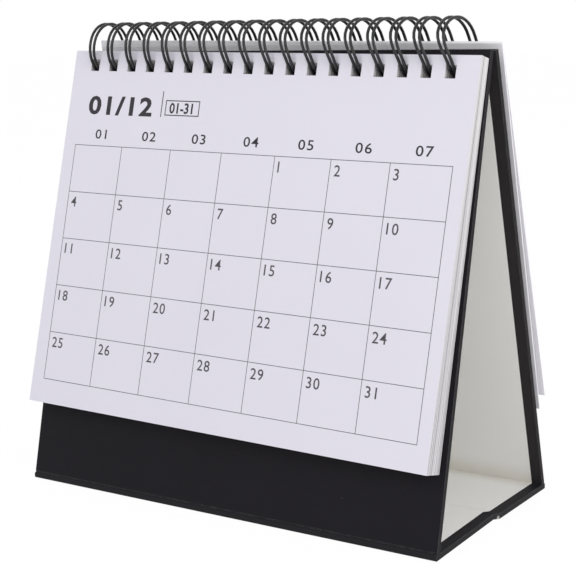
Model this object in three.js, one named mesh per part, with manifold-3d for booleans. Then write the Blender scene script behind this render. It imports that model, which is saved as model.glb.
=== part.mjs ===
// Standing desk calendar: a wire-bound stack of month pages on a folded, paper-covered board case.
// Millimetres, +X to the right, +Y to the rear, +Z up. The origin is the middle of the calendar's underside.

import * as THREE from 'three';
import { mergeVertices } from 'three/addons/utils/BufferGeometryUtils.js';
import Module from 'manifold-3d';

const wasm = await Module();
wasm.setup();

// The pages' width and the wire's pitch set the case's width and the number of loops
const PAGE_WIDTH = 245.5;
const CASE_MARGIN = 2.25;
const PITCH = 12.7;
const END_MARGIN = 14;

// Case
const CASE_WIDTH = PAGE_WIDTH + 2 * CASE_MARGIN;
const CASE_DEPTH = 120;
const CASE_HEIGHT = 229.5;
const PAPER = 0.3;
const BOARD = 2.0;
const GLUE_GAP = 0.1;
const WALL = BOARD + 2 * (PAPER + GLUE_GAP);
const LINER = 0.25;
const RIDGE_HALF = 3.8;
const TURN_IN = 15;
const LINER_MARGIN = 5.8;
const HINGE_FRONT = 1;
const HINGE_REAR = 6;
const BASE_STEP = 1.8;
const BAND_HEIGHT = 2.8;
const BAND_EDGE = 0.5;
const CREASE_DEPTH = 0.45;

// Binding
const LOOPS = Math.floor((PAGE_WIDTH - 2 * END_MARGIN) / PITCH) + 1;
const WIRE_D = 1.5;
const RING_R = 14.6;
const RING_Y = -2;
const RING_Z = CASE_HEIGHT + 0.8;
const BINDING_SHIFT = 1.7;
const LEAN = 3.6;
const HOLE_W = 5.6;
const HOLE_H = 6.4;
const LOOP_SPREAD = 3.4;
const TIP_SPREAD = 2.3;

// Sheets
const PAGE_HEIGHT = 192.5;
const PAGE_EDGE_TO_HOLE = 7.9;
const PAGE_GAP = 0.35;
const BLOCK_THICK = 7.6;
const LEAVES = 8;
const FAN_OUT = 4.1;
const FAN_SIDE = 0.4;
const HANG_SLANT = THREE.MathUtils.degToRad(0.81);
const HANG_DROP = 0.5;

const HALF = CASE_WIDTH / 2;
const TILT = Math.atan2(CASE_DEPTH / 2 - RIDGE_HALF, CASE_HEIGHT);
const PANEL_LENGTH = Math.hypot(CASE_DEPTH / 2 - RIDGE_HALF, CASE_HEIGHT);

// A surface's colour and finish
function finish(color, roughness, metalness = 0) {
  return new THREE.MeshStandardMaterial({ color, roughness, metalness });
}
const BLACK_PAPER = finish(0x2b2a2f, 0.62);
const GREY_BOARD = finish(0x8d8a84, 0.9);
const CREAM_PAPER = finish(0xdedcd2, 0.85);
const PAGE_PAPER = finish(0xe9e8f1, 0.8);
const BLACK_WIRE = finish(0x26252a, 0.35, 0.4);

// Closed solids for cutting and joining
function toSolid(geometry) {
  const g = geometry.clone();
  g.deleteAttribute('normal');
  g.deleteAttribute('uv');
  const merged = mergeVertices(g, 1e-4);
  const vertProperties = new Float32Array(merged.attributes.position.array);
  const triVerts = new Uint32Array(merged.index.array);
  return new wasm.Manifold(new wasm.Mesh({ numProp: 3, vertProperties, triVerts }));
}

function toGeometry(solid) {
  const mesh = solid.getMesh();
  const g = new THREE.BufferGeometry();
  g.setAttribute('position', new THREE.BufferAttribute(new Float32Array(mesh.vertProperties), 3));
  g.setIndex(new THREE.BufferAttribute(new Uint32Array(mesh.triVerts), 1));
  g.computeVertexNormals();
  return g;
}

function join(solids) {
  return solids.reduce((whole, next) => whole.add(next));
}

function piece(name, geometry, material) {
  const mesh = new THREE.Mesh(geometry, material);
  mesh.name = name;
  return mesh;
}

// A section in the YZ plane, pushed along X from x0 to x1
function alongX(points, x0, x1) {
  const shape = new THREE.Shape(points.map((p) => new THREE.Vector2(p.x, p.y)));
  const g = new THREE.ExtrudeGeometry(shape, { depth: x1 - x0, bevelEnabled: false });
  const turn = new THREE.Matrix4().makeBasis(
    new THREE.Vector3(0, 1, 0),
    new THREE.Vector3(0, 0, 1),
    new THREE.Vector3(1, 0, 0),
  );
  g.applyMatrix4(turn);
  g.translate(x0, 0, 0);
  return g;
}

// Offset of an open line to its left, with mitred corners
function offsetLine(points, distance) {
  const normals = [];
  for (let i = 0; i < points.length - 1; i += 1) {
    const d = points[i + 1].clone().sub(points[i]).normalize();
    normals.push(new THREE.Vector2(-d.y, d.x));
  }
  return points.map((p, i) => {
    const a = normals[Math.max(i - 1, 0)];
    const b = normals[Math.min(i, normals.length - 1)];
    const m = a.clone().add(b).normalize();
    return p.clone().addScaledVector(m, distance / m.dot(a));
  });
}

// A slope of the tent, seen in section. u runs up it from its foot and n is the depth into it.
function slope(side) {
  const foot = new THREE.Vector2(side * CASE_DEPTH / 2, 0);
  const up = new THREE.Vector2(-side * Math.sin(TILT), Math.cos(TILT));
  const inward = new THREE.Vector2(-side * Math.cos(TILT), -Math.sin(TILT));
  return (u, n) => foot.clone().addScaledVector(up, u).addScaledVector(inward, n);
}
const frontSlope = slope(-1);
const rearSlope = slope(1);

// The base's halves: the front one rises a little towards the middle fold
const BASE_RUN = CASE_DEPTH / 2 - HINGE_FRONT;
const BASE_REAR_RUN = CASE_DEPTH / 2 - HINGE_REAR;
const BASE_TILT = Math.atan2(BASE_STEP, BASE_RUN);
function baseFront(u, n) {
  const c = Math.cos(BASE_TILT);
  const s = Math.sin(BASE_TILT);
  return new THREE.Vector2(-CASE_DEPTH / 2 + u * c - n * s, u * s + n * c);
}
function baseRear(u, n) {
  return new THREE.Vector2(CASE_DEPTH / 2 - u, n);
}

// The case's line with plain corners, from the top of the front board, round the base, to the rear top
function caseLine(top) {
  return [
    frontSlope(top, 0),
    frontSlope(0, 0),
    baseFront(BASE_RUN, 0),
    baseRear(BASE_REAR_RUN, 0),
    rearSlope(0, 0),
    rearSlope(top, 0),
  ];
}

// At each fold the covered end of the base board shows as a low upright band under a crease
function foldBand(side, at) {
  const edge = side * CASE_DEPTH / 2;
  const slopeFoot = (BAND_HEIGHT + 2 * BAND_EDGE) / Math.cos(TILT);
  const crease = (BAND_HEIGHT + BAND_EDGE) / Math.cos(TILT);
  return [
    at(slopeFoot, 0),
    at(crease, CREASE_DEPTH),
    new THREE.Vector2(edge - side * BAND_EDGE * 0.7, BAND_HEIGHT),
    new THREE.Vector2(edge, BAND_HEIGHT - BAND_EDGE),
    new THREE.Vector2(edge, BAND_EDGE),
    new THREE.Vector2(edge - side * BAND_EDGE * 0.3, BAND_EDGE * 0.3),
    new THREE.Vector2(edge - side * BAND_EDGE, 0),
  ];
}

function outerLine(top) {
  return [
    frontSlope(top, 0),
    ...foldBand(-1, frontSlope),
    baseFront(BASE_RUN, 0),
    baseRear(BASE_REAR_RUN, 0),
    ...foldBand(1, rearSlope).reverse(),
    rearSlope(top, 0),
  ];
}

// A layer of the case's wall, between two depths from its outer line
function layer(top, n0, n1, halfWidth) {
  const line = caseLine(top);
  const section = offsetLine(line, n0).concat(offsetLine(line, n1).reverse());
  return toSolid(alongX(section, -halfWidth, halfWidth));
}

// Where each board lies in its own slope or base half: from u0 to u1
const SLOPE_START = (BAND_HEIGHT + 2 * BAND_EDGE) / Math.cos(TILT) + 1;
const SLOPE_END = PANEL_LENGTH - PAPER - GLUE_GAP;
const BASE_START = PAPER + GLUE_GAP + BAND_EDGE;
const boards = {
  front_board: { at: frontSlope, u0: SLOPE_START, u1: SLOPE_END },
  base_front_board: { at: baseFront, u0: BASE_START, u1: BASE_RUN - 1 },
  base_rear_board: { at: baseRear, u0: BASE_START, u1: BASE_REAR_RUN - 1 },
  rear_board: { at: rearSlope, u0: SLOPE_START, u1: SLOPE_END },
};

function band(at, u0, u1, n0, n1, x0, x1) {
  const corners = [at(u0, n0), at(u1, n0), at(u1, n1), at(u0, n1)];
  if (THREE.ShapeUtils.area(corners) < 0) corners.reverse();
  return alongX(corners, x0, x1);
}

// A board, grown by a gap all round when it is the pocket for one
function boardSolid({ at, u0, u1 }, gap = 0) {
  const n0 = PAPER + GLUE_GAP;
  const end = HALF - n0 + gap;
  return toSolid(band(at, u0 - gap, u1 + gap, n0 - gap, n0 + BOARD + gap, -end, end));
}

// Punched holes run square through a panel or a stack, one at every loop
function holes(normalTilt, y, z, length) {
  const cutters = [];
  for (let i = 0; i < LOOPS; i += 1) {
    const box = new THREE.BoxGeometry(HOLE_W, length, HOLE_H);
    box.rotateX(normalTilt);
    box.translate(loopX(i), y, z);
    cutters.push(toSolid(box));
  }
  return join(cutters);
}

function loopX(i) {
  return BINDING_SHIFT + (i - (LOOPS - 1) / 2) * PITCH;
}

// Where the ring crosses a layer at depth n of a slope: the distance up that slope
function crossing(side, n) {
  const reach = RIDGE_HALF - side * RING_Y;
  const rise = RING_Z - CASE_HEIGHT;
  const depth = reach * Math.cos(TILT) - rise * Math.sin(TILT);
  const foot = PANEL_LENGTH + reach * Math.sin(TILT) + rise * Math.cos(TILT);
  return foot - Math.sqrt(RING_R ** 2 - (depth - n) ** 2);
}

const frontHoleAt = frontSlope(crossing(-1, WALL / 2), WALL / 2);
const rearHoleAt = rearSlope(crossing(1, WALL / 2), WALL / 2);
const PUNCH = WALL + 2.5;
const frontPunch = holes(-TILT, frontHoleAt.x, frontHoleAt.y, PUNCH);
const rearPunch = holes(TILT, rearHoleAt.x, rearHoleAt.y, PUNCH);

// Covering paper: the case's wall with a pocket for each board, and the turn-ins left on its inner face
const wallSection = outerLine(PANEL_LENGTH).concat(offsetLine(caseLine(PANEL_LENGTH), WALL).reverse());
const pockets = join(Object.values(boards).map((board) => boardSolid(board, GLUE_GAP)));
const coverPaper = toSolid(alongX(wallSection, -HALF, HALF))
  .subtract(pockets)
  .subtract(layer(PANEL_LENGTH - TURN_IN, WALL - 2 * PAPER, WALL + PAPER, HALF - TURN_IN))
  .subtract(frontPunch)
  .subtract(rearPunch);

// Liner, one sheet over the turn-ins all the way round the inside
const LINER_DEPTH = WALL + GLUE_GAP;
const liner = layer(PANEL_LENGTH - LINER_MARGIN, LINER_DEPTH, LINER_DEPTH + LINER, HALF - LINER_MARGIN)
  .subtract(frontPunch)
  .subtract(rearPunch);

// A sheet stack's leaf, as a plate between two sets of corners: x across, u down from its top, n outward
function leaf(corners, thicknessTop, thicknessFoot) {
  const back = corners.map(([x, u, n]) => new THREE.Vector3(x, -u, n));
  const front = corners.map(([x, u, n, foot]) => {
    return new THREE.Vector3(x, -u, n + (foot ? thicknessFoot : thicknessTop));
  });
  const position = [];
  const put = (...list) => list.forEach((v) => position.push(v.x, v.y, v.z));
  const count = corners.length;
  for (let i = 1; i < count - 1; i += 1) {
    put(front[0], front[i], front[i + 1]);
    put(back[0], back[i + 1], back[i]);
  }
  for (let i = 0; i < count; i += 1) {
    const j = (i + 1) % count;
    put(back[i], back[j], front[j]);
    put(back[i], front[j], front[i]);
  }
  const g = new THREE.BufferGeometry();
  g.setAttribute('position', new THREE.BufferAttribute(new Float32Array(position), 3));
  return toSolid(g);
}

// Month pages: leaves held together at the holes and fanned outwards at their feet
const leafThick = BLOCK_THICK / LEAVES;
const LEFT = BINDING_SHIFT - PAGE_WIDTH / 2;
const RIGHT = BINDING_SHIFT + PAGE_WIDTH / 2;
const pageLeaves = [];
for (let i = 0; i < LEAVES; i += 1) {
  const k = i / (LEAVES - 1);
  const lap = i < LEAVES - 1 ? 0.12 : 0;
  const n = i * leafThick;
  const out = FAN_OUT * k;
  const side = -FAN_SIDE * k;
  const corners = [
    [LEFT, 0, n],
    [LEFT + side, PAGE_HEIGHT, n + out, true],
    [RIGHT + side, PAGE_HEIGHT, n + out, true],
    [RIGHT, 0, n],
  ];
  pageLeaves.push(leaf(corners, leafThick + lap, leafThick + 0.05));
}

// Its holes slope with the wire, which meets the front leaf higher up than the back leaf
const FRONT_CROSSING = crossing(-1, -PAGE_GAP - BLOCK_THICK);
const BACK_CROSSING = crossing(-1, -PAGE_GAP);
const BLOCK_TOP_U = FRONT_CROSSING - HANG_DROP + PAGE_EDGE_TO_HOLE;
function punchStack(thick, slant) {
  const depth = 2 * thick + 6;
  const lean = new THREE.Matrix4().makeShear(0, 0, 0, 0, 0, slant);
  const cutters = [];
  for (let i = 0; i < LOOPS; i += 1) {
    const box = new THREE.BoxGeometry(HOLE_W, HOLE_H, depth);
    box.applyMatrix4(lean);
    box.translate(loopX(i), -PAGE_EDGE_TO_HOLE, thick);
    cutters.push(toSolid(box));
  }
  return join(cutters);
}
const holeSlant = (FRONT_CROSSING - BACK_CROSSING) / BLOCK_THICK;
const pageBlock = toGeometry(join(pageLeaves).subtract(punchStack(BLOCK_THICK, holeSlant)));

// The stack hangs a little crooked, turned in its own plane about the middle of its holes
pageBlock.translate(-BINDING_SHIFT, PAGE_EDGE_TO_HOLE, 0);
pageBlock.rotateZ(-HANG_SLANT);
pageBlock.translate(BINDING_SHIFT, -PAGE_EDGE_TO_HOLE, 0);

// Turned sheets: two thin groups behind the rear board, the outer one standing further off
const REAR_THICK = 1.4;
const REAR_HOLE_ANGLE = THREE.MathUtils.degToRad(-24);
const REAR_INNER_OUT = -1.2;
const REAR_OUTER_OUT = 6.3;
const REAR_OUTER_SHORT = 4;
const REAR_LEFT = -BINDING_SHIFT - PAGE_WIDTH / 2;
const REAR_RIGHT = -BINDING_SHIFT + PAGE_WIDTH / 2;
const rearLeaves = [
  leaf(
    [
      [REAR_LEFT, 0, 0],
      [REAR_LEFT, PAGE_HEIGHT, REAR_INNER_OUT, true],
      [REAR_RIGHT, PAGE_HEIGHT, REAR_INNER_OUT, true],
      [REAR_RIGHT, 0, 0],
    ],
    REAR_THICK / 2 + 0.15,
    REAR_THICK / 2,
  ),
  leaf(
    [
      [REAR_LEFT, 0, REAR_THICK / 2],
      [REAR_LEFT, PAGE_HEIGHT - REAR_OUTER_SHORT, REAR_OUTER_OUT, true],
      [REAR_RIGHT, PAGE_HEIGHT - REAR_OUTER_SHORT, REAR_OUTER_OUT, true],
      [REAR_RIGHT, 0, REAR_THICK / 2],
    ],
    REAR_THICK / 2,
    REAR_THICK / 2,
  ),
];
const rearPunchStack = punchStack(REAR_THICK, 0).mirror([1, 0, 0]);
const turnedSheets = join(rearLeaves).subtract(rearPunchStack);

// Binding wire. Its line is drawn on the ring's cylinder, as a place along X and an angle round the ring.
const deg = THREE.MathUtils.degToRad;
const ROOT_ANGLE = deg(-74);
const ROOT_DEPTH = deg(11);
const TIP_ANGLE = deg(264);
const ARC_STEPS = 16;
const TIP_STEPS = 4;
const ROOT_STEPS = 6;

function spreadAt(angle) {
  const t = THREE.MathUtils.smoothstep(angle, deg(100), deg(225));
  return THREE.MathUtils.lerp(LOOP_SPREAD, TIP_SPREAD, t);
}

function onRing(x, angle) {
  return new THREE.Vector3(x, RING_Y + RING_R * Math.cos(angle), RING_Z + RING_R * Math.sin(angle));
}

// The free arc of each loop leans to the left, more and more from the left end to the right
const LEAN_FROM = deg(-30);
const LEAN_TO = deg(203);
function leanAt(i, angle) {
  const t = THREE.MathUtils.clamp((angle - LEAN_FROM) / (LEAN_TO - LEAN_FROM), 0, 1);
  return (-LEAN * i * Math.sin(Math.PI * t ** 1.8)) / (LOOPS - 1);
}

function wirePoints() {
  const points = [];
  const tipReach = TIP_SPREAD / 2 / RING_R;
  for (let i = 0; i < LOOPS; i += 1) {
    const x = loopX(i);
    for (let k = 0; k <= ARC_STEPS; k += 1) {
      const angle = THREE.MathUtils.lerp(ROOT_ANGLE, TIP_ANGLE, k / ARC_STEPS);
      points.push(onRing(x + leanAt(i, angle) - spreadAt(angle) / 2, angle));
    }
    for (let k = 1; k < TIP_STEPS; k += 1) {
      const turn = (Math.PI * k) / TIP_STEPS;
      const across = (-TIP_SPREAD / 2) * Math.cos(turn);
      points.push(onRing(x + across, TIP_ANGLE + tipReach * Math.sin(turn)));
    }
    for (let k = ARC_STEPS; k >= 0; k -= 1) {
      const angle = THREE.MathUtils.lerp(ROOT_ANGLE, TIP_ANGLE, k / ARC_STEPS);
      points.push(onRing(x + leanAt(i, angle) + spreadAt(angle) / 2, angle));
    }
    if (i === LOOPS - 1) break;
    const from = x + LOOP_SPREAD / 2;
    const span = PITCH - LOOP_SPREAD;
    for (let k = 1; k < ROOT_STEPS; k += 1) {
      const turn = (Math.PI * k) / ROOT_STEPS;
      const across = (span * (1 - Math.cos(turn))) / 2;
      points.push(onRing(from + across, ROOT_ANGLE - ROOT_DEPTH * Math.sin(turn) ** 0.7));
    }
  }
  return points;
}

// A line through given points, stepped point by point
class PointLine extends THREE.Curve {
  constructor(points) {
    super();
    this.points = points;
  }

  getPoint(t, target = new THREE.Vector3()) {
    const last = this.points.length - 1;
    const i = Math.min(Math.round(t * last), last);
    return target.copy(this.points[i]);
  }

  getPointAt(t, target) {
    return this.getPoint(t, target);
  }

  getTangentAt(t, target = new THREE.Vector3()) {
    const last = this.points.length - 1;
    const i = Math.min(Math.round(t * last), last);
    const a = this.points[Math.max(i - 1, 0)];
    const b = this.points[Math.min(i + 1, last)];
    return target.copy(b).sub(a).normalize();
  }
}

const WIRE_SIDES = 6;
const wireSection = new THREE.Shape();
for (let k = 0; k < WIRE_SIDES; k += 1) {
  const a = (2 * Math.PI * k) / WIRE_SIDES;
  const x = (WIRE_D / 2) * Math.cos(a);
  const y = (WIRE_D / 2) * Math.sin(a);
  if (k === 0) wireSection.moveTo(x, y);
  else wireSection.lineTo(x, y);
}
const wireLine = new PointLine(wirePoints());
const wire = new THREE.ExtrudeGeometry(wireSection, {
  steps: wireLine.points.length - 1,
  extrudePath: wireLine,
});

// Assembly
const calendar = new THREE.Group();
calendar.name = 'desk_calendar';
calendar.add(piece('cover_paper', toGeometry(coverPaper), BLACK_PAPER));
for (const [name, board] of Object.entries(boards)) {
  let solid = boardSolid(board);
  if (board.at === frontSlope) solid = solid.subtract(frontPunch);
  if (board.at === rearSlope) solid = solid.subtract(rearPunch);
  calendar.add(piece(name, toGeometry(solid), GREY_BOARD));
}
calendar.add(piece('liner_paper', toGeometry(liner), CREAM_PAPER));
calendar.add(piece('binding_wire', wire, BLACK_WIRE));

// The pages stand on the front slope, their top edge up and their faces outwards
const frontSide = new THREE.Group();
const pageTop = frontSlope(BLOCK_TOP_U, -PAGE_GAP);
frontSide.position.set(0, pageTop.x, pageTop.y);
frontSide.rotation.x = Math.PI / 2 - TILT;
frontSide.add(piece('page_block', pageBlock, PAGE_PAPER));
calendar.add(frontSide);

// The turned sheets hang on the back of the rings
const rearSide = new THREE.Group();
const rearHole = onRing(0, REAR_HOLE_ANGLE);
const rearUp = new THREE.Vector3(0, -Math.sin(TILT), Math.cos(TILT));
const rearOut = new THREE.Vector3(0, Math.cos(TILT), Math.sin(TILT));
const rearTop = rearHole.clone().addScaledVector(rearUp, PAGE_EDGE_TO_HOLE).addScaledVector(rearOut, -REAR_THICK / 2);
rearSide.position.set(0, rearTop.y, rearTop.z);
rearSide.rotation.set(Math.PI / 2 + TILT, Math.PI, 0);
rearSide.add(piece('turned_sheets', toGeometry(turnedSheets), PAGE_PAPER));
calendar.add(rearSide);

// The origin is the middle of the whole calendar, on the desk
const extent = new THREE.Box3().setFromObject(calendar);
calendar.position.y = -(extent.min.y + extent.max.y) / 2;

export default calendar;
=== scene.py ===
# %% [markdown]
# # A standing desk calendar
# A tent of covered board carries a stack of month pages on a row of wire loops. The solid shapes come
# from the CAD frame. Here each surface gets its paper, card or coated wire, the print goes on the front
# page, and the whole is lit and seen as in a plain studio.

# %% Load the frame
import math

import bpy
from mathutils import Matrix, Vector


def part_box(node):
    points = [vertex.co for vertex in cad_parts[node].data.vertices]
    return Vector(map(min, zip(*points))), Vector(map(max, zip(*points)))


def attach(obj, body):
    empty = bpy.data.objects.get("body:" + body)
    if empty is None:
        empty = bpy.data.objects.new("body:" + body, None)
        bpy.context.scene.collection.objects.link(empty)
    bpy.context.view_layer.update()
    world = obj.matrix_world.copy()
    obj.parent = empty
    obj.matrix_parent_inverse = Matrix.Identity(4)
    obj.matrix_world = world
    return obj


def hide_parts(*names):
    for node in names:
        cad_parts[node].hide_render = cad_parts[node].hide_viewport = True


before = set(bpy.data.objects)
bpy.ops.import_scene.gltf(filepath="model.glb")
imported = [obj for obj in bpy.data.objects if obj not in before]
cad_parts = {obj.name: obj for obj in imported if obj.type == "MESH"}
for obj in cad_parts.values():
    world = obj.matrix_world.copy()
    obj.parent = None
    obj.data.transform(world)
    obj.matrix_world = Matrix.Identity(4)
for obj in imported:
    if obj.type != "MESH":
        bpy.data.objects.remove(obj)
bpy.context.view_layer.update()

print("nodes:", ", ".join(sorted(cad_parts)))

# %% [markdown]
# ## Where the page lies
# The print has to lie exactly on the front page, which leans back, fans out a little at its foot and
# hangs slightly crooked. So the page's own directions are worked out first: across, up and outwards.
# The numbers are the same as the solid page stack has, in millimetres.

# %% The page's place
MM = 0.001
CASE_DEPTH = 120.0
CASE_HEIGHT = 229.5
RIDGE_HALF = 3.8
RING_R = 14.6
RING_Y = -2.0
RING_Z = CASE_HEIGHT + 0.8
PAGE_WIDTH = 245.5
PAGE_HEIGHT = 192.5
EDGE_TO_HOLE = 7.9
PAGE_GAP = 0.35
STACK_THICK = 7.6
FAN_OUT = 4.15
HANG_SLANT = math.radians(0.81)
HANG_DROP = 0.5
BINDING_SHIFT = 1.7

TILT = math.atan2(CASE_DEPTH / 2 - RIDGE_HALF, CASE_HEIGHT)
SLOPE_LENGTH = math.hypot(CASE_DEPTH / 2 - RIDGE_HALF, CASE_HEIGHT)
UP_SLOPE = Vector((0, math.sin(TILT), math.cos(TILT)))
OUTWARD = Vector((0, -math.cos(TILT), math.sin(TILT)))


def ring_height(out):
    """How far up the front slope the ring stands at a distance out from the panel."""
    reach = RIDGE_HALF + RING_Y
    rise = RING_Z - CASE_HEIGHT
    depth = reach * math.cos(TILT) - rise * math.sin(TILT)
    foot = SLOPE_LENGTH + reach * math.sin(TILT) + rise * math.cos(TILT)
    return foot - math.sqrt(RING_R ** 2 - (depth + out) ** 2)


case_low, case_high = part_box("cover_paper")
case_middle = (case_low.y + case_high.y) / 2 / MM
page_top_up = ring_height(PAGE_GAP + STACK_THICK) - HANG_DROP + EDGE_TO_HOLE
panel_foot = Vector((0, case_middle - CASE_DEPTH / 2, 0))
page_top = panel_foot + UP_SLOPE * page_top_up + OUTWARD * PAGE_GAP
print("middle of the page's top edge, mm:", [round(c, 2) for c in page_top])


def on_page(across, down):
    """A point on the front page's face: across from its middle, down from its top edge, in millimetres."""
    turned_across = across * math.cos(HANG_SLANT) - (down - EDGE_TO_HOLE) * math.sin(HANG_SLANT)
    turned_down = EDGE_TO_HOLE + across * math.sin(HANG_SLANT) + (down - EDGE_TO_HOLE) * math.cos(HANG_SLANT)
    out = STACK_THICK + FAN_OUT * down / PAGE_HEIGHT
    place = page_top + UP_SLOPE * -turned_down + OUTWARD * out
    place.x += BINDING_SHIFT + turned_across
    return place * MM


across_way = (on_page(1, 0) - on_page(0, 0)).normalized()
up_way = (on_page(0, 0) - on_page(0, 1)).normalized()
face_way = across_way.cross(up_way)
PAGE_PLACE = Matrix((
    (across_way.x, up_way.x, face_way.x, on_page(0, 0).x),
    (across_way.y, up_way.y, face_way.y, on_page(0, 0).y),
    (across_way.z, up_way.z, face_way.z, on_page(0, 0).z),
    (0, 0, 0, 1),
))
print("the face looks towards:", [round(c, 3) for c in face_way])

# %% [markdown]
# ## The camera
# The camera stands in front and to the right, a little above the calendar, about as far away as a person
# at the desk would be. Its three directions are set one by one, so that its small roll comes out exactly.

# %% Camera
LENS_PIXELS = 1459.85
IMAGE_PIXELS = 576
SENSOR = 36.0
CAMERA_TURN = math.radians(34.126)
CAMERA_DROP = math.radians(10.868)
CAMERA_ROLL = math.radians(1.504)
CAMERA_AT = Vector((425.97, -619.24 + case_middle, 250.78))

forward = Vector((
    -math.sin(CAMERA_TURN) * math.cos(CAMERA_DROP),
    math.cos(CAMERA_TURN) * math.cos(CAMERA_DROP),
    -math.sin(CAMERA_DROP),
))
level = Vector((math.cos(CAMERA_TURN), math.sin(CAMERA_TURN), 0))
down = forward.cross(level)
image_right = level * math.cos(CAMERA_ROLL) + down * math.sin(CAMERA_ROLL)
image_down = down * math.cos(CAMERA_ROLL) - level * math.sin(CAMERA_ROLL)

bpy.ops.object.select_all(action="DESELECT")
bpy.ops.object.camera_add()
camera = bpy.context.object
camera.name = "photo_camera"
camera.data.lens = SENSOR * LENS_PIXELS / IMAGE_PIXELS
camera.data.sensor_width = SENSOR
camera.data.clip_start = 0.01
camera.matrix_world = Matrix((
    (image_right.x, -image_down.x, -forward.x, CAMERA_AT.x * MM),
    (image_right.y, -image_down.y, -forward.y, CAMERA_AT.y * MM),
    (image_right.z, -image_down.z, -forward.z, CAMERA_AT.z * MM),
    (0, 0, 0, 1),
))
bpy.context.scene.camera = camera
print("lens, mm:", round(camera.data.lens, 2))

# %% [markdown]
# ## Sums on sockets
# A procedural material is a small calculation. Writing it as nodes one by one is long, so one class
# stands for a socket that can be added, multiplied and so on, and another one stands for a material
# and makes any node that is asked for.

# %% A socket that can be used in sums
class Value:
    """An output socket that can be added, taken away, multiplied and divided."""

    def __init__(self, finish, socket):
        self.finish = finish
        self.socket = socket

    def joined(self, operation, first, second):
        return self.finish.node("ShaderNodeMath", {"operation": operation}, {0: first, 1: second})

    def __add__(self, other):
        return self.joined("ADD", self, other)

    __radd__ = __add__

    def __sub__(self, other):
        return self.joined("SUBTRACT", self, other)

    def __rsub__(self, other):
        return self.joined("SUBTRACT", other, self)

    def __mul__(self, other):
        return self.joined("MULTIPLY", self, other)

    __rmul__ = __mul__

    def __truediv__(self, other):
        return self.joined("DIVIDE", self, other)


print("sums on sockets ready")


# %% A material that makes its own nodes
class Finish:
    """A material and the ways to make its nodes."""

    def __init__(self, name):
        self.material = bpy.data.materials.new(name)
        self.material.use_nodes = True
        self.nodes = self.material.node_tree.nodes
        self.links = self.material.node_tree.links
        self.nodes.clear()

    def node(self, kind, settings=None, inputs=None, output=0):
        """Any node, with its settings, its inputs as numbers or sockets, and one of its outputs."""
        made = self.nodes.new(kind)
        for name, setting in (settings or {}).items():
            setattr(made, name, setting)
        for name, value in (inputs or {}).items():
            if isinstance(value, Value):
                self.links.new(value.socket, made.inputs[name])
            else:
                made.inputs[name].default_value = value
        return Value(self, made.outputs[output]) if made.outputs else None

    def place(self, scale=(1, 1, 1)):
        """A point's place on the object in metres, stretched along each axis by a Mapping node."""
        spot = self.node("ShaderNodeTexCoord", output="Object")
        return self.node("ShaderNodeMapping", inputs={"Vector": spot, "Scale": scale})

    def axis(self, vector, name):
        return self.node("ShaderNodeSeparateXYZ", inputs={0: vector}, output=name)

    def noise(self, vector, scale, detail=3.0, roughness=0.55):
        inputs = {"Vector": vector, "Scale": scale, "Detail": detail, "Roughness": roughness}
        return self.node("ShaderNodeTexNoise", inputs=inputs)

    def size(self, value):
        """A number without its sign."""
        return self.node("ShaderNodeMath", {"operation": "ABSOLUTE"}, {0: value})

    def along(self, vector, direction):
        """How far a point lies along a direction."""
        return self.node("ShaderNodeVectorMath", {"operation": "DOT_PRODUCT"},
                         {0: vector, 1: tuple(direction)}, "Value")

    def near(self, vector, point, inner, outer):
        """1 at a point, fading to 0 between two distances from it."""
        away = self.node("ShaderNodeVectorMath", {"operation": "DISTANCE"},
                         {0: vector, 1: tuple(point)}, "Value")
        return 1 - self.step(away, inner, outer)

    def step(self, value, low, high):
        """0 below low, 1 above high and a smooth rise between them."""
        settings = {"interpolation_type": "SMOOTHSTEP"}
        return self.node("ShaderNodeMapRange", settings, {"Value": value, 1: low, 2: high})

    def mix(self, amount, first, second):
        """A colour between two colours."""
        first, second = (c if isinstance(c, Value) else (*c, 1) for c in (first, second))
        return self.node("ShaderNodeMix", {"data_type": "RGBA"}, {0: amount, 6: first, 7: second}, 2)

    def bump(self, height, distance, strength):
        inputs = {"Height": height, "Distance": distance, "Strength": strength}
        return self.node("ShaderNodeBump", inputs=inputs)

    def surface(self, **inputs):
        """Ends the material with a Principled surface."""
        shader = self.node("ShaderNodeBsdfPrincipled", inputs=inputs)
        self.node("ShaderNodeOutputMaterial", inputs={"Surface": shader})
        return self.material


def dress(piece, material):
    """Gives a piece one material."""
    piece.data.materials.clear()
    piece.data.materials.append(material)


print("material tools ready")

# %% [markdown]
# ## Page card
# The pages are smooth white card with a cool cast. Real card isn't one flat colour: it has a faint
# cloudiness and a fine tooth, which a bump gives. Where the stack is seen from its side, the cut edges
# of the single sheets show as fine lines. They run along the sheets, so they are drawn in the stack's
# own directions, by how far out of the panel a point lies, and they spread where the sheets fan out.
# One gap among them is wider, as the front sheets have come a little away from the rest, and a
# painted shadow marks it as a dark line.

# %% Page card material
LEAF_DRIFT = 0.6 * MM
# where the gap's painted shadow lies, out from the stack's back, and its half width
PAINTED_GAP_SHADOW_AT, PAINTED_GAP_SHADOW_HALF = 4.9 * MM, 0.6 * MM
TOOTH_DEPTH = 0.02 * MM
LEAVES_OVER_TOOTH = 6.0

card = Finish("page_card")
spot = card.place()
clouds = card.noise(spot, 14.0, 2.0)
tooth = card.noise(spot, 1400.0, 2.0, 0.6)
normal = card.node("ShaderNodeNewGeometry", output="Normal")
facing = card.step(card.size(card.along(normal, OUTWARD)), 0.5, 0.9)

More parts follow.
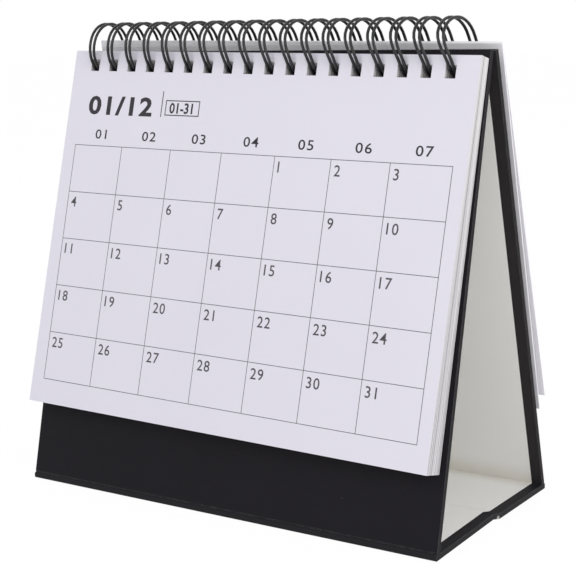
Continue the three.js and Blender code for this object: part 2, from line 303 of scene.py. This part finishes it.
stack_back = OUTWARD.dot(page_top) * MM
way_down = (UP_SLOPE.dot(page_top) * MM - card.along(spot, UP_SLOPE)) / (PAGE_HEIGHT * MM)
spread = 1 + way_down * (FAN_OUT / STACK_THICK)
sheet_place = (card.along(spot, OUTWARD) - stack_back) / spread
line_spot = card.node("ShaderNodeCombineXYZ", inputs={0: sheet_place, 1: way_down * LEAF_DRIFT})
sheet_lines = card.noise(line_spot, 2600.0, 1.0, 0.4)
broad_lines = card.noise(line_spot, 700.0, 1.0, 0.4)
edge_tone = sheet_lines * 0.6 + broad_lines * 0.4
# painted shadow: a dark line where the front sheets stand a little away from the rest
painted_gap_shadow = 1 - card.step(card.size(sheet_place - PAINTED_GAP_SHADOW_AT), 0.0, PAINTED_GAP_SHADOW_HALF)

face_colour = card.mix(clouds, (0.725, 0.708, 0.782), (0.765, 0.748, 0.820))
edge_colour = card.mix(card.step(edge_tone, 0.38, 0.60), (0.56, 0.545, 0.545), (0.80, 0.785, 0.775))
edge_colour = card.mix(painted_gap_shadow * 0.9, edge_colour, (0.20, 0.195, 0.195))
page_colour = card.mix(facing, edge_colour, face_colour)
page_relief = tooth * facing + sheet_lines * (1 - facing) * LEAVES_OVER_TOOTH
page_bump = card.bump(page_relief, TOOTH_DEPTH, 0.5)
card_material = card.surface(**{"Base Color": page_colour, "Roughness": 0.62, "Normal": page_bump,
                                "Specular IOR Level": 0.35})
dress(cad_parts["page_block"], card_material)
print("page card on the month pages")

# %% [markdown]
# ## Turned sheets
# The sheets at the back are the same card, but they are seen from behind and by their edges, so they
# need no page print and only a plainer version of the card. They are a few sheets, and their colour is
# painted paler than the page card's: painted light, standing in for the light that reaches the shaded
# gap between their two groups.

# %% Turned sheets material
turned = Finish("back_sheet_card_painted_light")
spot = turned.place()
clouds = turned.noise(spot, 12.0, 2.0)
tooth = turned.noise(spot, 1400.0, 2.0, 0.6)
# painted light: the page card made paler, so the shaded sheets look lit
back_sheet_colour_painted_light = turned.mix(clouds, (0.89, 0.88, 0.91), (0.94, 0.93, 0.96))
back_sheet_material_painted_light = turned.surface(**{"Base Color": back_sheet_colour_painted_light, "Roughness": 0.62,
                                    "Normal": turned.bump(tooth, TOOTH_DEPTH, 0.5),
                                    "Specular IOR Level": 0.35})
print("card for the turned sheets ready")

# %% [markdown]
# ## Covering paper
# Black covering paper is dyed through and has a matt face. It catches light in its fine grain, and a few
# specks of dust show on a surface this dark. The bent bands at the folds are a little paler. The case's
# two ends and the turned-in margin inside the rear wall are painted paler: painted light, as if more
# light fell on them. At the right end of the base's middle fold the paper has split and shows its raw
# core. The edges get a second, lighter finish, partly wear and partly a painted highlight.

# %% Covering paper material
RAW_PATCH_AT = (case_high.x, 4.5 * MM, 0.6 * MM)
RAW_PATCH_INNER, RAW_PATCH_OUTER = 1.0 * MM, 2.1 * MM
FOLD_BAND_FULL, FOLD_BAND_END = 2.9 * MM, 3.6 * MM
# where the painted light on the rear wall's inner margin begins and reaches full strength
PAINTED_LIGHT_FROM_Y, PAINTED_LIGHT_FULL_Y = -4 * MM, 4 * MM
SPECK_REACH = 0.06
GRAIN_DEPTH = 0.03 * MM

cover = Finish("black_covering_paper")
spot = cover.place()
grain = cover.noise(spot, 1800.0, 2.0, 0.65)
fibres = cover.noise(cover.place(scale=(0.35, 1, 1)), 260.0, 4.0, 0.6)
patches = cover.noise(spot, 18.0, 3.0)
specks = cover.node("ShaderNodeTexVoronoi", inputs={"Vector": spot, "Scale": 95.0})
speck = 1 - cover.step(specks, 0.0, SPECK_REACH)
tone = cover.mix(patches, (0.0065, 0.0056, 0.0085), (0.0100, 0.0088, 0.0125))
tone = cover.mix(fibres * 0.25, tone, (0.016, 0.015, 0.018))
tone = cover.mix(speck * 0.30, tone, (0.13, 0.125, 0.13))
fold_height = cover.axis(spot, "Z")
fold_band = 1 - cover.step(fold_height, FOLD_BAND_FULL, FOLD_BAND_END)
tone = cover.mix(fold_band * 0.5, tone, (0.021, 0.020, 0.023))
normal = cover.node("ShaderNodeNewGeometry", output="Normal")
# painted light: faces turned to either end of the case are made paler, as if lit more strongly
ends_painted_light = cover.step(cover.size(cover.along(normal, (1, 0, 0))), 0.6, 0.9)
tone = cover.mix(ends_painted_light, tone, (0.0130, 0.0120, 0.0140))
# painted light: the shaded turned-in margin inside the rear wall, facing the front, made paler
painted_light_rear_side = cover.step(cover.axis(spot, "Y"), PAINTED_LIGHT_FROM_Y, PAINTED_LIGHT_FULL_Y)
painted_light_facing_front = cover.step(cover.along(normal, (0, -1, 0)), 0.5, 0.8)
tone = cover.mix(painted_light_facing_front * painted_light_rear_side, tone, (0.0290, 0.0262, 0.0275))
raw_patch = cover.near(spot, RAW_PATCH_AT, RAW_PATCH_INNER, RAW_PATCH_OUTER)
tone = cover.mix(raw_patch * cover.step(grain, 0.25, 0.5), tone, (0.50, 0.48, 0.45))
cover_rough = 0.52 + grain * 0.16
cover_bump = cover.bump(grain * 0.5 + fibres, GRAIN_DEPTH, 0.6)
cover_material = cover.surface(**{"Base Color": tone, "Roughness": cover_rough, "Normal": cover_bump,
                                  "Specular IOR Level": 0.12})

# second finish for the rounded edges, lighter and patchy: partly wear, partly a painted highlight
worn_highlit_edge = Finish("worn_edge_with_painted_highlight")
spot = worn_highlit_edge.place()
wear = worn_highlit_edge.noise(spot, 240.0, 4.0, 0.6)
worn_highlit_edge_tone = worn_highlit_edge.mix(worn_highlit_edge.step(wear, 0.35, 0.7), (0.016, 0.015, 0.018), (0.060, 0.057, 0.062))
worn_highlit_edge_material = worn_highlit_edge.surface(**{"Base Color": worn_highlit_edge_tone, "Roughness": 0.55,
                                    "Specular IOR Level": 0.3})
print("covering paper ready")

# %% [markdown]
# ## Soft edges on the case
# In CAD the case's edges are sharp, but paper wrapped round board makes small round edges, and these
# catch a thin line of light. A copy of the CAD shape is merged, its flat faces are joined into large
# ones, and a bevel rounds its sharp edges. The shading then follows the large faces, so that they stay
# even up to their edges. The copy is shown in place of the CAD solid, which is hidden.

# %% Case with rounded edges
MERGE_WITHIN = 0.002 * MM
EDGE_RADIUS = 0.28 * MM
FLAT_BELOW, SHARP_ABOVE, SMOOTH_BELOW = math.radians(1), math.radians(40), math.radians(50)


def merged_copy(node, name):
    """A copy of a CAD node with its loose triangles merged into one surface."""
    bpy.ops.object.select_all(action="DESELECT")
    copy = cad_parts[node].copy()
    copy.data = copy.data.copy()
    copy.name = name
    copy.data.name = name
    copy.parent = None
    for key in list(copy.keys()):
        del copy[key]
    bpy.context.scene.collection.objects.link(copy)
    bpy.context.view_layer.objects.active = copy
    copy.select_set(True)
    bpy.ops.object.mode_set(mode="EDIT")
    bpy.ops.mesh.select_all(action="SELECT")
    bpy.ops.mesh.remove_doubles(threshold=MERGE_WITHIN)
    bpy.ops.object.mode_set(mode="OBJECT")
    return copy


case = merged_copy("cover_paper", "covered_case")
bpy.ops.object.mode_set(mode="EDIT")
bpy.ops.mesh.select_all(action="SELECT")
bpy.ops.mesh.dissolve_limited(angle_limit=FLAT_BELOW)
bpy.ops.object.mode_set(mode="OBJECT")
bevel = case.modifiers.new("rounded edges", "BEVEL")
bevel.width = EDGE_RADIUS
bevel.segments = 2
bevel.limit_method = "ANGLE"
bevel.angle_limit = SHARP_ABOVE
bevel.use_clamp_overlap = True
bevel.miter_outer = "MITER_ARC"
# the bevel's faces take the lighter edge finish, partly wear and partly painted highlight
bevel.material = 1
dress(case, cover_material)
case.data.materials.append(worn_highlit_edge_material)
bpy.ops.object.modifier_apply(modifier=bevel.name)
bpy.ops.object.shade_smooth_by_angle(angle=SMOOTH_BELOW)
even_shading = case.modifiers.new("even shading", "WEIGHTED_NORMAL")
even_shading.keep_sharp = True
bpy.ops.object.modifier_apply(modifier=even_shading.name)
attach(case, "root")
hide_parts("cover_paper")
print("case faces:", len(case.data.polygons))

# %% [markdown]
# ## The turned sheets' top edge
# The outer sheets behind have slipped up a little, most of all at the left, so that a pale strip of them
# stands above the case between the loops. The stack's mesh is cut a little behind its inner face, and
# only the top edge outside that cut is moved up the rear slope.

# %% Turned sheets
RISE_RIGHT, RISE_LEFT = 0.6, 3.5
OUTER_FROM = 0.7
TOP_BAND, CUT_BAND = 0.5 * MM, 0.05 * MM
rear_up = Vector((0, -math.sin(TILT), math.cos(TILT)))
rear_out = Vector((0, math.cos(TILT), math.sin(TILT)))

turned_pages = merged_copy("turned_sheets", "turned_pages")
points = [v.co for v in turned_pages.data.vertices]
top_height = max(p.dot(rear_up) for p in points)
top_depth = min(p.dot(rear_out) for p in points if top_height - p.dot(rear_up) < TOP_BAND)
cut_depth = top_depth + OUTER_FROM * MM
bpy.ops.object.mode_set(mode="EDIT")
bpy.ops.mesh.select_all(action="SELECT")
bpy.ops.mesh.bisect(plane_co=rear_out * cut_depth, plane_no=rear_out)
bpy.ops.object.mode_set(mode="OBJECT")
for vertex in turned_pages.data.vertices:
    at_top = top_height - vertex.co.dot(rear_up) < TOP_BAND
    if at_top and vertex.co.dot(rear_out) > cut_depth - CUT_BAND:
        share = (vertex.co.x / MM + PAGE_WIDTH / 2) / PAGE_WIDTH
        vertex.co += rear_up * (RISE_LEFT + (RISE_RIGHT - RISE_LEFT) * share) * MM
bpy.ops.object.shade_flat()
dress(turned_pages, back_sheet_material_painted_light)
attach(turned_pages, "root")
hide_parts("turned_sheets")
print("turned sheets, faces:", len(turned_pages.data.polygons))

# %% [markdown]
# ## Liner
# The liner is uncoated cream paper. It is a little uneven where it is glued down, so a slow, low wave
# is added to its fine grain. Near the fold at the rear it is painted darker: painted shade, where
# shadow gathers in the corner.

# %% Liner material
liner_low, liner_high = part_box("liner_paper")
LINER_THICK = 0.4 * MM
PAINTED_FOLD_SHADE_AT = (0, liner_high.y, liner_low.z + LINER_THICK)
FOLD_SHADE_REACH = 12 * MM
GLUE_WAVE_DEPTH = 0.4 * MM

liner = Finish("cream_liner_paper")
spot = liner.place()
clouds = liner.noise(spot, 22.0, 3.0)
fibres = liner.noise(spot, 900.0, 3.0, 0.6)
glue_wave = liner.noise(spot, 30.0, 1.0)
liner_colour = liner.mix(clouds, (0.875, 0.866, 0.838), (0.915, 0.907, 0.880))
liner_colour = liner.mix(liner.step(fibres, 0.60, 0.75) * 0.3, liner_colour, (0.76, 0.745, 0.70))
# painted shade: darker towards the corner of the rear fold
painted_fold_shade = liner.near(liner.place(scale=(0, 1, 1)), PAINTED_FOLD_SHADE_AT, 0.0, FOLD_SHADE_REACH)
liner_colour = liner.mix(painted_fold_shade * 0.5, liner_colour, (0.66, 0.63, 0.55))
liner_bump = liner.bump(fibres * 0.04 + glue_wave, GLUE_WAVE_DEPTH, 0.5)
liner_material = liner.surface(**{"Base Color": liner_colour, "Roughness": 0.8, "Normal": liner_bump,
                                  "Specular IOR Level": 0.3})
dress(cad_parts["liner_paper"], liner_material)
print("liner papered")

# %% [markdown]
# ## Board
# The boards are hidden inside the covering paper, but they still get their grey, flecked material, so
# that a cut or a hole would show it.

# %% Board material
FLECK_DEPTH = 0.1 * MM

board = Finish("grey_board")
spot = board.place()
flecks = board.noise(spot, 700.0, 4.0, 0.7)
board_colour = board.mix(board.step(flecks, 0.4, 0.65), (0.20, 0.185, 0.165), (0.33, 0.31, 0.285))
board_material = board.surface(**{"Base Color": board_colour, "Roughness": 0.9,
                                  "Normal": board.bump(flecks, FLECK_DEPTH, 0.5)})
for name in ("front_board", "base_front_board", "base_rear_board", "rear_board"):
    dress(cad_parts[name], board_material)
print("boards dressed")

# %% [markdown]
# ## Wire
# The binding wire is steel with a thin black coat. The CAD wire has six sides, so a copy is merged and
# subdivided once, which rounds it, and then fattened by as much as the rounding took away.

# %% Round wire
COAT_GRAIN_DEPTH = 0.01 * MM
LOST_BY_ROUNDING = 0.14 * MM
QUADS_BELOW = math.radians(60)

wire_finish = Finish("black_coated_wire")
spot = wire_finish.place()
wear = wire_finish.noise(spot, 160.0, 3.0, 0.6)
grain = wire_finish.noise(spot, 2200.0, 2.0)
worn = wire_finish.step(wear, 0.45, 0.7)
wire_colour = wire_finish.mix(worn, (0.009, 0.009, 0.011), (0.022, 0.021, 0.025))
wire_bump = wire_finish.bump(grain, COAT_GRAIN_DEPTH, 0.4)
wire_material = wire_finish.surface(**{
    "Base Color": wire_colour, "Roughness": 0.26 + wear * 0.12, "Specular IOR Level": 0.3,
    "Coat Weight": 0.15, "Coat Roughness": 0.12, "Normal": wire_bump})

wire = merged_copy("binding_wire", "twin_loop_wire")
bpy.ops.object.mode_set(mode="EDIT")
bpy.ops.mesh.select_all(action="SELECT")
bpy.ops.mesh.tris_convert_to_quads(face_threshold=QUADS_BELOW, shape_threshold=QUADS_BELOW)
bpy.ops.object.mode_set(mode="OBJECT")
rounding = wire.modifiers.new("rounding", "SUBSURF")
rounding.levels = 1
rounding.render_levels = 1
bpy.ops.object.modifier_apply(modifier=rounding.name)
bpy.ops.object.mode_set(mode="EDIT")
bpy.ops.mesh.select_all(action="SELECT")
bpy.ops.transform.shrink_fatten(value=LOST_BY_ROUNDING)
bpy.ops.object.mode_set(mode="OBJECT")
bpy.ops.object.shade_smooth()
dress(wire, wire_material)
print("wire rounded, faces:", len(wire.data.polygons))

# %% [markdown]
# ## The loops' lean
# Between the holes at the back and those at the front each loop's free arc leans to the left. The first
# loops stand nearly straight, and from about the eighth one on they all lean alike. The arc is moved
# by its angle round the ring, so that the wire still passes through its holes.

# %% Leaning loops
PITCH = 12.7
LOOPS = 18
FIRST_LOOP_X = BINDING_SHIFT - (LOOPS - 1) / 2 * PITCH
LEAN_FULL_AFTER = 7 * PITCH
LEAN_MORE = 2.3
LEAN_AT_FRONT = 0.55
ARC_FROM, ARC_TO = -24.0, 203.0
LEAN_IN_BY, LEAN_OUT_FROM = 0.2, 0.74


def smooth(value, low, high):
    """0 below low, 1 above high and a smooth rise between them."""
    share = min(max((value - low) / (high - low), 0), 1)
    return share * share * (3 - 2 * share)


for vertex in wire.data.vertices:
    angle = math.degrees(math.atan2(vertex.co.z / MM - RING_Z, vertex.co.y / MM - RING_Y - case_middle))
    if angle < -90:
        angle += 360
    way = (angle - ARC_FROM) / (ARC_TO - ARC_FROM)
    grown = LEAN_AT_FRONT + (1 - LEAN_AT_FRONT) * way
    arc = grown * smooth(way, 0, LEAN_IN_BY) * (1 - smooth(way, LEAN_OUT_FROM, 1))
    row = smooth(vertex.co.x / MM - FIRST_LOOP_X, 0, LEAN_FULL_AFTER)
    vertex.co.x -= LEAN_MORE * arc * row * MM
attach(wire, "root")
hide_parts("binding_wire")
print("loops leaning:", LOOPS)

# %% [markdown]
# ## Ink
# The print is a little uneven, as ink soaks into card. It is kept as thin shapes that lie on the face
# of the page, because a painted pattern would turn soft at this size.

# %% Ink materials
def ink(name, dark, light):
    """A matt ink between two tones."""
    made = Finish(name)
    soak = made.noise(made.place(), 2600.0, 3.0, 0.6)
    colour = made.mix(soak, dark, light)
    return made.surface(**{"Base Color": colour, "Roughness": 0.7, "Specular IOR Level": 0.3})


dark_ink = ink("dark_ink", (0.022, 0.020, 0.025), (0.050, 0.047, 0.054))
soft_ink = ink("soft_ink", (0.065, 0.062, 0.070), (0.110, 0.107, 0.115))
line_ink = ink("line_ink", (0.10, 0.10, 0.11), (0.15, 0.15, 0.16))
print("inks ready")

# %% [markdown]
# ## The month grid
# Seven columns and five rows. A flat grid is added at its size, the Wireframe modifier turns its edges
# into lines of one width, and it is pressed flat before it is laid on the page.

# %% Month grid
COLUMNS, ROWS = 7, 5
COLUMN, ROW = 32.89, 25.60
GRID_LEFT, GRID_TOP = -114.785, 51.58
LINE = 0.34
INK_HEIGHT = 0.02
PRESSED_TO = 0.1


def lay_on_page(piece, material, name):
    """Moves a flat piece, made in the page's own directions, on to the page's face."""
    piece.name = name
    piece.data.name = name
    piece.data.transform(PAGE_PLACE @ piece.matrix_world)
    piece.matrix_world = Matrix.Identity(4)
    dress(piece, material)
    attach(piece, "root")
    return piece


bpy.ops.object.select_all(action="DESELECT")
bpy.ops.mesh.primitive_grid_add(x_subdivisions=COLUMNS, y_subdivisions=ROWS, size=1)
grid = bpy.context.object
grid.scale = (COLUMNS * COLUMN * MM, ROWS * ROW * MM, 1)
grid.location = (
    (GRID_LEFT + COLUMNS * COLUMN / 2) * MM,
    -(GRID_TOP + ROWS * ROW / 2) * MM,
    INK_HEIGHT * MM,
)
bpy.ops.object.transform_apply(location=True, rotation=True, scale=True)
lines = grid.modifiers.new("lines", "WIREFRAME")
lines.thickness = LINE * MM
lines.use_boundary = True
lines.use_replace = True
bpy.ops.object.modifier_apply(modifier=lines.name)
bpy.ops.object.mode_set(mode="EDIT")
bpy.ops.mesh.select_all(action="SELECT")
bpy.ops.transform.resize(value=(1, 1, PRESSED_TO), center_override=(0, 0, INK_HEIGHT * MM))
bpy.ops.object.mode_set(mode="OBJECT")
lay_on_page(grid, line_ink, "month_grid")
print("grid faces:", len(grid.data.polygons))

# %% [markdown]
# ## The dates
# Each date stands at the top left of its cell. A text object is made for each one, turned into a mesh,
# and all of them are joined, since they are one print.

# %% Dates
FIRST_COLUMN = 4
DAYS = 31
DATE_IN, DATE_DOWN, DATE_HEIGHT = 2.5, 2.6, 5.7
DIGIT_SHARE = 0.729
CURVE_STEPS = 3
PRINT_MERGE_WITHIN = 0.001 * MM


def number(text, left, top, height, weight, width_share, gap_share=1.0):
    """A number as a thin mesh, with its top left corner at a place on the page, in millimetres."""
    bpy.ops.object.select_all(action="DESELECT")
    bpy.ops.object.text_add()
    piece = bpy.context.object
    piece.data.body = text
    piece.data.size = height / DIGIT_SHARE * MM
    piece.data.offset = weight * MM
    piece.data.space_character = gap_share
    piece.data.extrude = INK_HEIGHT / 2 * MM
    piece.data.resolution_u = CURVE_STEPS
    bpy.ops.object.convert(target="MESH")
    piece = bpy.context.object
    corners = [Vector(c) for c in piece.bound_box]
    low_x = min(c.x for c in corners)
    high_y = max(c.y for c in corners)
    move = Matrix.Translation((left * MM, -top * MM, INK_HEIGHT * MM))
    squeeze = Matrix.Diagonal((width_share, 1, 1, 1))
    piece.data.transform(move @ squeeze @ Matrix.Translation((-low_x, -high_y, 0)))
    return piece


def joined(pieces):
    """Several pieces made into one."""
    bpy.ops.object.select_all(action="DESELECT")
    for piece in pieces:
        piece.select_set(True)
    bpy.context.view_layer.objects.active = pieces[0]
    bpy.ops.object.join()
    whole = bpy.context.object
    bpy.ops.object.mode_set(mode="EDIT")
    bpy.ops.mesh.select_all(action="SELECT")
    bpy.ops.mesh.remove_doubles(threshold=PRINT_MERGE_WITHIN)
    bpy.ops.mesh.normals_make_consistent(inside=False)
    bpy.ops.object.mode_set(mode="OBJECT")
    return whole


dates = []
for day in range(1, DAYS + 1):
    cell = FIRST_COLUMN + day - 1
    left = GRID_LEFT + (cell % COLUMNS) * COLUMN + DATE_IN
    top = GRID_TOP + (cell // COLUMNS) * ROW + DATE_DOWN
    dates.append(number(str(day), left, top, DATE_HEIGHT, weight=0.05, width_share=0.98, gap_share=1.12))
date_print = lay_on_page(joined(dates), soft_ink, "date_print")
print("date faces:", len(date_print.data.polygons))

# %% [markdown]
# ## The page's heading
# Above the grid stand the month's number, an upright rule and its first and last day in a frame, and a
# plain number marks each day of the week. They are numbers and simple shapes only.

# %% Heading numbers
MONTH_LEFT, MONTH_TOP, MONTH_HEIGHT = -108.9, 24.5, 9.8
DAYS_LEFT, DAYS_TOP, DAYS_HEIGHT = -53.3, 26.9, 5.5
WEEK_TOP, WEEK_HEIGHT = 42.7, 5.2

month_number = number("01/12", MONTH_LEFT, MONTH_TOP, MONTH_HEIGHT,
                      weight=0.42, width_share=1.3, gap_share=1.12)
days_number = number("01-31", DAYS_LEFT, DAYS_TOP, DAYS_HEIGHT, weight=0.18, width_share=0.94)
week_numbers = []
for column in range(COLUMNS):
    middle = GRID_LEFT + (column + 0.5) * COLUMN
    piece = number("0" + str(column + 1), middle, WEEK_TOP, WEEK_HEIGHT,
                   weight=0.06, width_share=1.25, gap_share=1.15)
    width = max(c[0] for c in piece.bound_box) - min(c[0] for c in piece.bound_box)
    piece.data.transform(Matrix.Translation((-width / 2, 0, 0)))
    week_numbers.append(piece)
print("heading numbers made:", 2 + len(week_numbers))


# %% Rules and frame
def plate(left, top, width, height):
    """A thin printed rectangle, added as a cube and shaped to its size."""
    bpy.ops.object.select_all(action="DESELECT")
    bpy.ops.mesh.primitive_cube_add(size=1, location=(
        (left + width / 2) * MM, -(top + height / 2) * MM, INK_HEIGHT * MM))
    piece = bpy.context.object
    piece.scale = (width * MM, height * MM, INK_HEIGHT * MM)
    bpy.ops.object.transform_apply(location=True, rotation=True, scale=True)
    return piece


RULE = 0.5
RULE_LEFT, RULE_TOP, RULE_HEIGHT = -58.8, 21.0, 13.5
left, top, width, height = -56.1, 25.6, 22.3, 8.1
heading = [
    month_number,
    days_number,
    plate(RULE_LEFT, RULE_TOP, RULE, RULE_HEIGHT),
    plate(left, top, width, RULE),
    plate(left, top + height - RULE, width, RULE),
    plate(left, top + RULE, RULE, height - 2 * RULE),
    plate(left + width - RULE, top + RULE, RULE, height - 2 * RULE),
]
heading_print = lay_on_page(joined(heading + week_numbers), dark_ink, "heading_print")
print("heading faces:", len(heading_print.data.polygons))

# %% [markdown]
# ## Floor
# A pale floor holds the shadow. To the camera and in reflections it is nearly white, and to everything
# else it is a plain pale surface, so it doesn't light the calendar from below more than paper would.

# %% Floor
FLOOR_SIZE = 12
FLOOR_DROP = 0.2 * MM
WHITE_SHARE = 0.94

bpy.ops.object.select_all(action="DESELECT")
bpy.ops.mesh.primitive_plane_add(size=FLOOR_SIZE, location=(0, 0, -FLOOR_DROP))
floor = bpy.context.object
floor.name = "floor"
paint = Finish("pale_floor")
seen = paint.node("ShaderNodeLightPath", output="Is Camera Ray")
seen = seen + paint.node("ShaderNodeLightPath", output="Is Glossy Ray")
seen = seen + paint.node("ShaderNodeLightPath", output="Is Transmission Ray")
tooth = paint.noise(paint.place(), 3.0)
floor_colour = paint.mix(tooth, (0.88, 0.88, 0.88), (0.91, 0.91, 0.91))
plain = paint.node("ShaderNodeBsdfDiffuse", inputs={"Color": floor_colour})
white = paint.node("ShaderNodeEmission", inputs={"Color": (1, 1, 1, 1), "Strength": 1.02})
share = paint.node("ShaderNodeMath", {"operation": "MULTIPLY", "use_clamp": True}, {0: seen, 1: WHITE_SHARE})
blend = paint.node("ShaderNodeMixShader", inputs={0: share, 1: plain, 2: white})
paint.node("ShaderNodeOutputMaterial", inputs={"Surface": blend})
dress(floor, paint.material)
print("floor laid")

# %% [markdown]
# ## Even light from all around
# White paper shows its true tone under soft, even light, as in a light tent. The world gives that light
# at a plain level. Only the camera and reflections see a pure white background in its place.

# %% World
world = bpy.data.worlds.new("studio")
bpy.context.scene.world = world
world.use_nodes = True
tree = world.node_tree
tree.nodes.clear()


def background(colour, strength):
    """A background of one colour and strength."""
    made = tree.nodes.new("ShaderNodeBackground")
    made.inputs["Color"].default_value = (*colour, 1)
    made.inputs["Strength"].default_value = strength
    return made


def higher(first, second):
    """The higher of two sockets."""
    made = tree.nodes.new("ShaderNodeMath")
    made.operation = "MAXIMUM"
    tree.links.new(first, made.inputs[0])
    tree.links.new(second, made.inputs[1])
    return made.outputs[0]


rays = tree.nodes.new("ShaderNodeLightPath").outputs
around = background((0.985, 0.98, 1.0), 0.69)
behind = background((1, 1, 1), 1.0)
seen = higher(higher(rays["Is Camera Ray"], rays["Is Glossy Ray"]), rays["Is Transmission Ray"])
choose = tree.nodes.new("ShaderNodeMixShader")
tree.links.new(seen, choose.inputs[0])
tree.links.new(around.outputs[0], choose.inputs[1])
tree.links.new(behind.outputs[0], choose.inputs[2])
out = tree.nodes.new("ShaderNodeOutputWorld")
tree.links.new(choose.outputs[0], out.inputs["Surface"])
bpy.context.scene.view_settings.view_transform = "Standard"
print("world set")

# %% [markdown]
# ## Soft lamps
# Three square softboxes give the light a direction: one lights the page from the front left, one keeps
# its right side from falling off, and one shines into the open end of the tent.

# %% Soft lamps
def soft_lamp(name, place, aim, size, power):
    """A square area lamp at a place, turned towards its aim, in metres and watts."""
    bpy.ops.object.select_all(action="DESELECT")
    bpy.ops.object.light_add(type="AREA", location=place)
    lamp = bpy.context.object
    lamp.name = name
    lamp.data.shape = "SQUARE"
    lamp.data.size = size
    lamp.data.energy = power
    lamp.rotation_euler = (Vector(aim) - Vector(place)).to_track_quat("-Z", "Y").to_euler()


soft_lamp("front_softbox", place=(-0.5, -1.5, 1.3), aim=(0, 0, 0.1), size=0.7, power=5.2)
soft_lamp("right_softbox", place=(1.2, -1.0, 0.55), aim=(0, 0, 0.1), size=0.7, power=3.2)
soft_lamp("side_softbox", place=(1.3, -0.25, 0.85), aim=(0, 0, 0.05), size=0.6, power=5)
